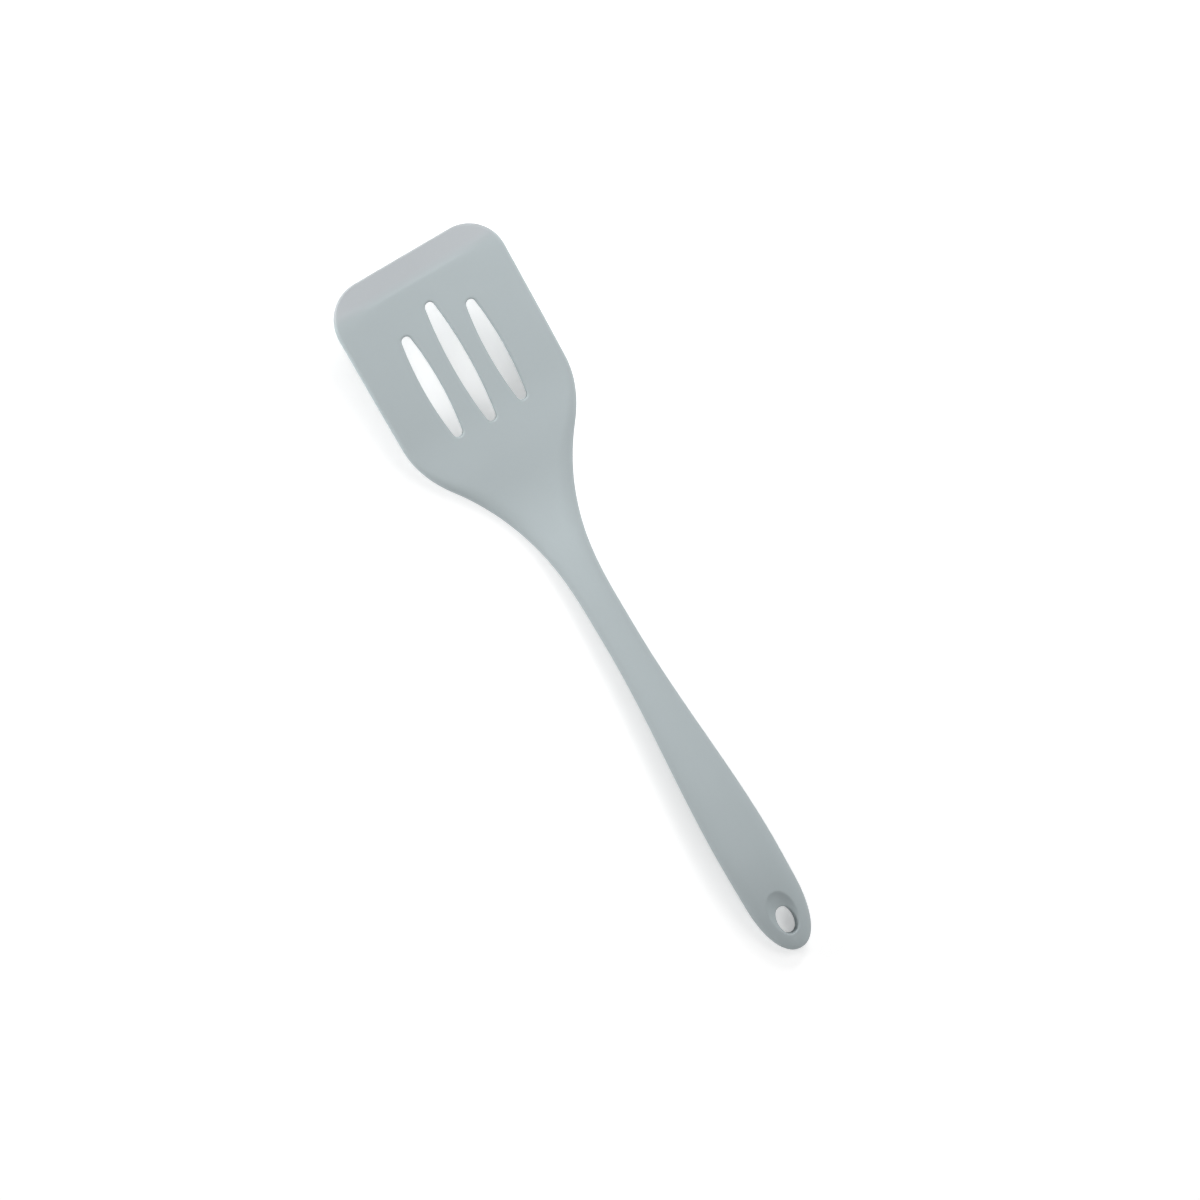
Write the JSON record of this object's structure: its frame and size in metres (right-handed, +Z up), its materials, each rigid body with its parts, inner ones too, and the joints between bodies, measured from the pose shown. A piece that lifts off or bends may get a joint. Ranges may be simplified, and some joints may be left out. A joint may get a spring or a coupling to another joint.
{
  "type": "slotted turner",
  "caption": "Seamless soft-skinned turner with a wide slotted blade, a thin flexible front lip, a slim neck and a long arched handle with an oval hang hole.",
  "frame": {"origin": "on the table, below the middle of the length, at the bottom centre of the part's box", "axes": "+X from the blade's front edge to the end of the handle, +Y across the blade, +Z up from the table; the part lies face up as in the picture"},
  "size_m": [0.32, 0.0766, 0.0224],
  "materials": {
    "silicone": "matte moulded silicone, pale grey with a slight green-blue tint",
    "stainless_plate": "blanked and rolled stainless sheet, deburred",
    "nylon_core": "glass-filled nylon, natural, slightly rough"
  },
  "bodies": {
    "root": {"silicone_jacket": "silicone", "blade_plate": "stainless_plate", "handle_core": "nylon_core"}
  },
  "joints": []
}
